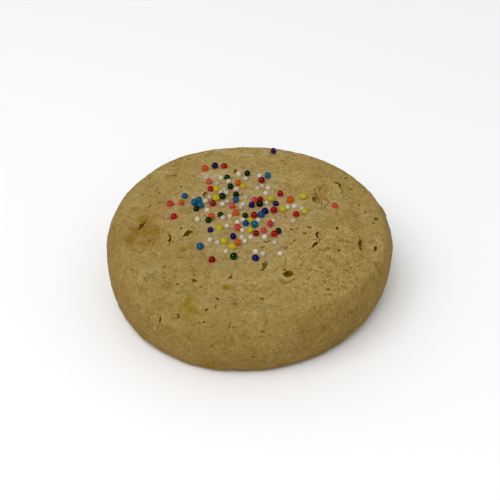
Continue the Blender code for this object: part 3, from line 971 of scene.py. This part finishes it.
ragged = dough_noise(places, SPOT_EDGE_NOISE)
side = smooth_step(*SIDE_TILT, 1 - outward[:, 2]) * smooth_step(*UNDER_TILT, outward[:, 2])
values = {
    "hollow_brown_and_shade": hollow_brown_and_shade,
    # The lips' painted highlight.
    "lip_and_highlight": painted_lip_highlight,
    "dust": dust_value(places),
    "bled": bled_value(places),
    "side": side,
    # Darker towards the bottom: painted shade.
    "low": 1 - smooth_step(0.0, FOOT_SHADE_HEIGHT, places[:, 2]),
    "base": smooth_step(*BASE_TILT, -outward[:, 2]),
}
values.update((name, spots_value(places, ragged, spots)) for name, spots in SPOTS.items())
for name, numbers in values.items():
    stored = crust_mesh.attributes.new(name, "FLOAT", "POINT")
    stored.data.foreach_set("value", numbers.astype(np.float32))
print("hollow points:", int((hollow_brown_and_shade > CLEARLY).sum()), "side points:", int((side > CLEARLY).sum()))

# %% [markdown]
# ## Mixing a finish
# A finish in Blender is a small network of nodes. Written out in full, each node takes several lines.
# This short helper keeps a finish readable: every call adds one kind of node and gives back its result.
# All patterns are read from the object's own coordinates, so they stay on the cookie as it turns.

# %% Finish helper
LINE_CORE = 0.25


class Finish:
    """One material with its nodes."""

    def __init__(self, name):
        self.material = bpy.data.materials.new(name)
        self.material.use_nodes = True
        self.tree = self.material.node_tree
        self.shader = self.tree.nodes["Principled BSDF"]
        self.places = self.node("ShaderNodeTexCoord").outputs["Object"]

    def feed(self, node, inputs):
        """Link results to a node's inputs by name, or write plain numbers and colours on them."""
        for name, value in inputs.items():
            if isinstance(value, bpy.types.NodeSocket):
                self.tree.links.new(value, node.inputs[name])
            else:
                node.inputs[name].default_value = (*value, 1.0) if isinstance(value, tuple) else value

    def node(self, kind, inputs=None, **settings):
        """A new node with its settings and inputs."""
        node = self.tree.nodes.new(kind)
        for name, value in settings.items():
            setattr(node, name, value)
        self.feed(node, inputs or {})
        return node

    def noise(self, size, detail, roughness=0.5, curl=0.0):
        """Cloudy noise from 0 to 1 whose waves have a size, curled where asked."""
        inputs = {"Vector": self.places, "Scale": 1.0 / size, "Detail": detail}
        inputs.update({"Roughness": roughness, "Distortion": curl})
        return self.node("ShaderNodeTexNoise", inputs).outputs["Fac"]

    def mark(self, name):
        """A number kept on the mesh under a name."""
        return self.node("ShaderNodeAttribute", attribute_name=name).outputs["Fac"]

    def spread(self, value, low, high, first=0.0, last=1.0):
        """Stretch low to high onto first to last, smoothly."""
        inputs = {"Value": value, "From Min": low, "From Max": high, "To Min": first, "To Max": last}
        return self.node("ShaderNodeMapRange", inputs, interpolation_type="SMOOTHSTEP").outputs["Result"]

    def sum_up(self, operation, first, second=0.0):
        """One sum, such as MAXIMUM, of two numbers."""
        return self.node("ShaderNodeMath", {0: first, 1: second}, operation=operation).outputs["Value"]

    def times(self, first, second):
        """Two numbers multiplied."""
        return self.sum_up("MULTIPLY", first, second)

    def lines(self, value, middle, width):
        """1 along the lines where a pattern has its middle value, 0 a width away."""
        apart = self.sum_up("ABSOLUTE", self.sum_up("SUBTRACT", value, middle))
        return self.spread(apart, width, width * LINE_CORE)

    def blend(self, share, first, second, kind="MIX"):
        """One colour laid over another by a share."""
        inputs = {"Factor": share, "A": first, "B": second}
        return self.node("ShaderNodeMix", inputs, data_type="RGBA", blend_type=kind).outputs["Result"]

    def tint(self, share, colour, factor):
        """A colour multiplied by another, by a share."""
        return self.blend(share, colour, self.blend(1.0, colour, factor, "MULTIPLY"))

    def surface(self, colour, roughness, specular):
        """Set the shader's colour, roughness and specular level."""
        inputs = {"Base Color": colour, "Roughness": roughness, "Specular IOR Level": specular}
        self.feed(self.shader, inputs)

    def bump(self, height, distance):
        """Tilt the shading by a height pattern."""
        node = self.node("ShaderNodeBump", {"Height": height, "Distance": distance})
        self.feed(self.shader, {"Normal": node.outputs["Normal"]})


print("finish helper ready")

# %% [markdown]
# ## The crust's finish
# The crust is matte and pale gold, with paler and browner clouds a few millimetres across, fine specks
# of flour and sugar, and a sandy patch at the right where the skin is rougher. One flat colour would
# look like clay. Colours are laid over each other from the broadest to the finest. Creases, hollows and
# the foot are darkened as painted shade, lips and crease edges are lightened as a painted highlight, and
# some patches carry painted light and shade.

# %% Colours of the crust
GOLD = (0.306, 0.219, 0.067)
PALE_GOLD = (0.357, 0.262, 0.094)
BROWN_GOLD = (0.252, 0.161, 0.038)
RUDDY_GOLD = (0.314, 0.200, 0.052)
BLED_TINT = (1.15, 0.78, 0.95)
BASE_BROWN = (0.235, 0.122, 0.030)
# Hollow colours: browner crumb, darkened as painted shade.
HOLLOW_BROWN_AND_SHADE = (0.150, 0.083, 0.0010)
HOLLOW_TOASTED_AND_SHADE = (0.150, 0.036, 0.0008)
# Speck factors: the dark one also paints shade in the creases, the light one paints highlights on the lips.
SPECK_AND_SHADE_DARK = (0.60, 0.49, 0.22)
SPECK_AND_HIGHLIGHT_LIGHT = (1.34, 1.40, 1.70)
# Tints multiply the colour where their stored number is high, and stains are laid over it.
TINTS = {
    "side": (0.91, 0.86, 0.76),
    # Low darkens the crust towards the bottom as painted shade.
    "low": (0.87, 0.84, 0.80),
    # Pale patches are painted light, shady ones painted shade.
    "pale": (1.16, 1.17, 1.32),
    "shady": (0.84, 0.83, 0.80),
    "ruddy": (1.04, 0.975, 0.98),
    "dust": (1.10, 1.15, 1.50),
}
STAINS = {"butter": (0.212, 0.142, 0.008), "toasted": (0.225, 0.110, 0.009)}
print("tints:", len(TINTS), "stains:", len(STAINS))

# %% Patterns of the crust
# Each pattern: the size of its waves, its detail, roughness and curl.
PATTERNS = {
    "clouds": (6.5 * MM, 3.0),
    "patches": (2.4 * MM, 3.0, 0.6, 0.6),
    "ruddy": (1.7 * MM, 2.0, 0.6, 0.8),
    "mottle": (1.1 * MM, 3.0, 0.65),
    "wrinkles": (1.3 * MM, 2.0, 0.55, 1.2),
    "grain": (0.8 * MM, 2.0, 0.6, 0.4),
    "folds": (1.9 * MM, 2.0, 0.6, 1.4),
    "torn": (5.0 * MM, 2.0),
    "gaps": (1.5 * MM, 1.0),
}
# Each share: its pattern, two values of the pattern, and the shares there.
SHARES = {
    "pale": ("clouds", 0.48, 0.70, 0.0, 1.0),
    "brown": ("patches", 0.48, 0.68, 0.0, 0.85),
    "ruddy": ("ruddy", 0.48, 0.62, 0.0, 0.7),
    "mottle": ("mottle", 0.35, 0.62, 0.7, 1.15),
    "torn": ("torn", 0.44, 0.60, 0.25, 1.0),
    "gaps": ("gaps", 0.46, 0.56, 0.0, 1.0),
    "crumbly": ("grain", 0.52, 0.68, 0.0, 0.85),
    "pitted": ("grain", 0.45, 0.28, 0.0, 0.75),
}
TORN_ON_SIDE = (0.1, 0.8, 1.0, 0.3)
CREASE_AT = 0.45
# A light line beside each crease is a painted highlight.
CREASE_HIGHLIGHT_AT = 0.53
CREASE_WIDTH = 0.045
CREASE_SHADE_SHARE = 0.7
CREASE_HIGHLIGHT_SHARE = 0.8
CREASE_RELIEF = 0.25
BASE_SHARE = 0.85
SANDY_SIDE = 0.4
SANDY_SPAN = (0.0, 1.0, 0.65, 1.0)
BLED_SHARE = 0.7
HOLLOW_SPAN = (0.02, 0.62)
CRUST_ROUGHNESS = 0.8
CRUST_SPECULAR = 0.05
CRUST_BUMP = 0.28 * MM
print("patterns:", len(PATTERNS), "shares:", len(SHARES))


# %% Crust finish
def broad_colour(finish, share):
    """Gold in clouds and patches, tinted by place, with painted light and shade from some tints, and
    stained where it browned or soaked up butter.
    """
    colour = finish.blend(share["pale"], GOLD, PALE_GOLD)
    colour = finish.blend(share["brown"], colour, BROWN_GOLD)
    colour = finish.blend(share["ruddy"], colour, RUDDY_GOLD)
    # The low, pale and shady tints are painted shade, light and shade.
    for name, factor in TINTS.items():
        colour = finish.tint(finish.mark(name), colour, factor)
    colour = finish.blend(finish.times(finish.mark("base"), BASE_SHARE), colour, BASE_BROWN)
    for name, stain in STAINS.items():
        colour = finish.blend(finish.times(finish.mark(name), share["mottle"]), colour, stain)
    return colour


def crust_finish():
    """Matte baked crust."""
    finish = Finish("crust")
    pattern = {name: finish.noise(*sizes) for name, sizes in PATTERNS.items()}
    share = {name: finish.spread(pattern[source], *span) for name, (source, *span) in SHARES.items()}
    torn = finish.sum_up("MAXIMUM", share["torn"], finish.mark("sandy"))
    torn = finish.times(torn, finish.spread(finish.mark("side"), *TORN_ON_SIDE))
    gaps = finish.times(share["gaps"], torn)
    # Creases are thin lines darkened as painted shade, with a small bump as well.
    creases = finish.times(finish.lines(pattern["folds"], CREASE_AT, CREASE_WIDTH), gaps)
    # Beside each crease, a light line of painted highlight, joined with the lips of the marks.
    painted_lip_highlight = finish.times(finish.lines(pattern["folds"], CREASE_HIGHLIGHT_AT, CREASE_WIDTH), gaps)
    painted_lip_highlight = finish.sum_up("MAXIMUM", finish.times(painted_lip_highlight, CREASE_HIGHLIGHT_SHARE), finish.mark("lip_and_highlight"))
    sandy = finish.sum_up("MAXIMUM", finish.mark("sandy"), finish.times(finish.mark("side"), SANDY_SIDE))
    sandy = finish.spread(sandy, *SANDY_SPAN)
    colour = broad_colour(finish, share)
    darker = finish.blend(1.0, colour, SPECK_AND_SHADE_DARK, "MULTIPLY")
    lighter = finish.blend(1.0, colour, SPECK_AND_HIGHLIGHT_LIGHT, "MULTIPLY")
    colour = finish.blend(finish.times(share["crumbly"], sandy), colour, lighter)
    colour = finish.blend(finish.times(share["pitted"], sandy), colour, darker)
    # Lips of marks and creases are lightened as a painted highlight.
    colour = finish.blend(painted_lip_highlight, colour, lighter)
    # Creases darkened as painted shade.
    colour = finish.blend(finish.times(creases, CREASE_SHADE_SHARE), colour, darker)
    colour = finish.tint(finish.times(finish.mark("bled"), BLED_SHARE), colour, BLED_TINT)
    # Hollows take a dark brown: browner crumb and painted shade.
    hollow_shaded_colour = finish.blend(finish.mark("toasted"), HOLLOW_BROWN_AND_SHADE, HOLLOW_TOASTED_AND_SHADE)
    colour = finish.blend(finish.spread(finish.mark("hollow_brown_and_shade"), *HOLLOW_SPAN), colour, hollow_shaded_colour)
    finish.surface(colour, CRUST_ROUGHNESS, CRUST_SPECULAR)
    relief = finish.sum_up("ADD", finish.times(pattern["grain"], sandy), pattern["wrinkles"])
    relief = finish.sum_up("SUBTRACT", relief, finish.times(creases, CREASE_RELIEF))
    finish.bump(finish.sum_up("ADD", relief, pattern["patches"]), CRUST_BUMP)
    return finish.material


crust_mesh.materials.append(crust_finish())
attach(crust, "root")
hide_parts("cookie")
print("crust finish:", len(crust_mesh.materials[0].node_tree.nodes), "nodes")

# %% [markdown]
# ## The sugar beads
# A sugar bead is a hard, slightly glossy ball about 1.7 mm across, never quite round, with colour all
# through. Particles on a surface would scatter them quickly, but particles are lost when the model is
# exported, and every bead must sit in its own hollow. So the balls of a colour are built as one mesh.

# %% Colours of the beads
BEAD_COLOURS = {
    "white": ((0.62, 0.545, 0.425), (0.44, 0.365, 0.245)),
    "red": ((0.31, 0.0030, 0.0008), (0.15, 0.0005, 0.0005)),
    "pink": ((0.41, 0.026, 0.026), (0.44, 0.058, 0.044)),
    "orange": ((0.48, 0.043, 0.001), (0.45, 0.082, 0.002)),
    "yellow": ((0.42, 0.41, 0.004), (0.49, 0.34, 0.006)),
    "blue": ((0.001, 0.095, 0.18), (0.001, 0.038, 0.15)),
    "navy": ((0.002, 0.0005, 0.05), (0.010, 0.001, 0.085)),
    "green": ((0.0008, 0.004, 0.0003), (0.001, 0.030, 0.001)),
}
counts = {colour: sum(bead.colour == colour for bead in beads) for colour in BEAD_COLOURS}
print("beads of each colour:", counts)

# %% [markdown]
# The balls differ a little: each is squeezed by a few hundredths and dented by slow noise. Each also
# carries two numbers: its tone, so that two beads of one colour aren't quite the same, and each point's
# height on the ball, which drives the painted shading of its finish.

# %% Bead meshes
BEAD_SEGMENTS = 24
BEAD_RINGS = 16
BEAD_UNEVEN = 0.06
BEAD_DENT = 0.05
BEAD_DENT_WAVES = 1.3
TONE_SEED = 3


def add_bead(builder, tone_layer, painted_shading_layer, bead, draw):
    """Add one uneven ball to a mesh builder."""
    made = bmesh.ops.create_uvsphere(builder, u_segments=BEAD_SEGMENTS, v_segments=BEAD_RINGS, radius=1.0)
    squeeze = [1 + draw.uniform(-BEAD_UNEVEN, BEAD_UNEVEN) for _ in range(3)]
    tone = draw.random()
    placing = (
        Matrix.Translation(bead.centre)
        @ bead.outward.to_track_quat("Z", "Y").to_matrix().to_4x4()
        @ Matrix.Rotation(bead.turn, 4, "Z")
        @ Matrix.Diagonal([bead.radius * factor for factor in squeeze] + [1.0])
    )
    for vertex in made["verts"]:
        # Each point's height on the ball, read by the finish for painted shading.
        vertex[painted_shading_layer] = vertex.co.z
        dent = BEAD_DENT * noise.noise(vertex.co * BEAD_DENT_WAVES + bead.centre / MM)
        vertex.co = placing @ (vertex.co * (1 + dent))
        vertex[tone_layer] = tone


def make_beads(colour):
    """All the beads of one colour as one piece."""
    draw = random.Random(f"{TONE_SEED} {colour}")
    builder = bmesh.new()
    tone_layer = builder.verts.layers.float.new("tone")
    painted_shading_layer = builder.verts.layers.float.new("painted_shading")
    for bead in beads:
        if bead.colour == colour:
            add_bead(builder, tone_layer, painted_shading_layer, bead, draw)
    return add_to_scene(f"beads_{colour}", mesh_from(builder, f"beads_{colour}"))


bead_pieces = {colour: make_beads(colour) for colour in BEAD_COLOURS}
print("bead faces:", {colour: len(piece.data.polygons) for colour, piece in bead_pieces.items()})

# %% [markdown]
# ## The beads' finish
# Hard sugar shines softly: a small highlight, and little else of the surroundings.
# The tone that each bead carries slides its colour between two neighbours, and faint clouds keep
# it from looking like plastic. Painted shading darkens each bead's top and lightens its lower half.

# %% Bead finish
BEAD_ROUGHNESS = 0.17
BEAD_SPECULAR = 0.34
# Painted shading: the first factor lightens a bead's lower half, the second darkens its top.
BRIGHT_PAINTED_SHADING = (1.35, 0.82)
PALE_PAINTED_SHADING = (1.08, 0.96)
SUGAR_CLOUDS = (0.5 * MM, 3.0)
SUGAR_CLOUDS_SPAN = (0.35, 0.7, 0.0, 0.22)
SUGAR_CLOUDS_TINT = (0.72, 0.72, 0.72)
SUGAR_GRAIN = (0.22 * MM, 2.0)
SUGAR_BUMP = 0.015 * MM


def bead_finish(colour):
    """Softly shining sugar of one colour, with painted shading."""
    finish = Finish(f"sugar_{colour}")
    mixed = finish.blend(finish.mark("tone"), *BEAD_COLOURS[colour])
    clouds = finish.spread(finish.noise(*SUGAR_CLOUDS), *SUGAR_CLOUDS_SPAN)
    mixed = finish.tint(clouds, mixed, SUGAR_CLOUDS_TINT)
    painted_shading = PALE_PAINTED_SHADING if colour == "white" else BRIGHT_PAINTED_SHADING
    shade = finish.spread(finish.mark("painted_shading"), 0.0, 1.0, *painted_shading)
    finish.surface(finish.blend(1.0, mixed, shade, "MULTIPLY"), BEAD_ROUGHNESS, BEAD_SPECULAR)
    finish.bump(finish.noise(*SUGAR_GRAIN), SUGAR_BUMP)
    return finish.material


for colour, piece in bead_pieces.items():
    piece.data.materials.append(bead_finish(colour))
    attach(piece, "root")
print("bead pieces:", len(bead_pieces))

# %% [markdown]
# ## Floor and light
# The cookie lies on a plain pale floor in soft studio light. One wide lamp from the upper left gives
# the cookie its form, a small one above the camera gives the beads their glints, and an even bright
# surround fills the rest, as a light tent does. A bright surround would also lie as a milky veil on the
# dark beads, so in reflections it is nearly dark.

# %% Floor
FLOOR_RADIUS = 6.0
FLOOR_SIDES = 64
FLOOR_COLOUR = (0.95, 0.95, 0.955)
FLOOR_ROUGHNESS = 0.7
FLOOR_SPECULAR = 0.1


def make_floor():
    """A wide pale disc on which the cookie lies."""
    builder = bmesh.new()
    bmesh.ops.create_circle(builder, cap_ends=True, segments=FLOOR_SIDES, radius=FLOOR_RADIUS)
    floor = add_to_scene("floor", mesh_from(builder, "floor"))
    finish = Finish("floor")
    finish.surface(FLOOR_COLOUR, FLOOR_ROUGHNESS, FLOOR_SPECULAR)
    floor.data.materials.append(finish.material)
    return floor


floor = make_floor()
print("floor radius, m:", FLOOR_RADIUS)

# %% Light
KEY_DIRECTION = Vector((-0.41, -0.34, 0.87)).normalized()
LAMP_DISTANCE = 0.9
KEY_SIZE = 0.5
KEY_POWER = 2.6
GLINT_DIRECTION = Vector((-0.08, -0.50, 0.86)).normalized()
GLINT_SIZE = 0.2
GLINT_POWER = 1.5
SURROUND_STRENGTH = 0.645
MIRRORED_STRENGTH = 0.03
WHITE = (1.0, 1.0, 1.0, 1.0)


def make_lamp(name, direction, size, power):
    """A square lamp that faces the cookie."""
    light = bpy.data.lights.new(name, "AREA")
    light.size = size
    light.energy = power
    lamp = add_to_scene(name, light)
    lamp.location = direction * LAMP_DISTANCE
    lamp.rotation_euler = direction.to_track_quat("Z", "Y").to_euler()


def make_surround():
    """An even white surround, much dimmer in reflections, as a studio with dark walls is."""
    world = bpy.data.worlds.new("surround")
    world.use_nodes = True
    nodes, links = world.node_tree.nodes, world.node_tree.links
    strength = nodes.new("ShaderNodeMapRange")
    strength.inputs["To Min"].default_value = SURROUND_STRENGTH
    strength.inputs["To Max"].default_value = MIRRORED_STRENGTH
    links.new(nodes.new("ShaderNodeLightPath").outputs["Is Glossy Ray"], strength.inputs["Value"])
    nodes["Background"].inputs["Color"].default_value = WHITE
    links.new(strength.outputs["Result"], nodes["Background"].inputs["Strength"])
    bpy.context.scene.world = world


make_lamp("key", KEY_DIRECTION, KEY_SIZE, KEY_POWER)
make_lamp("glint", GLINT_DIRECTION, GLINT_SIZE, GLINT_POWER)
make_surround()
bpy.context.scene.view_settings.view_transform = "Standard"
print("lights ready")

# %% [markdown]
# ## Last step
# The dressed cookie has to stay the size of its solid. Here the view layer is brought up to date.

# %% Update the view layer
bpy.context.view_layer.update()
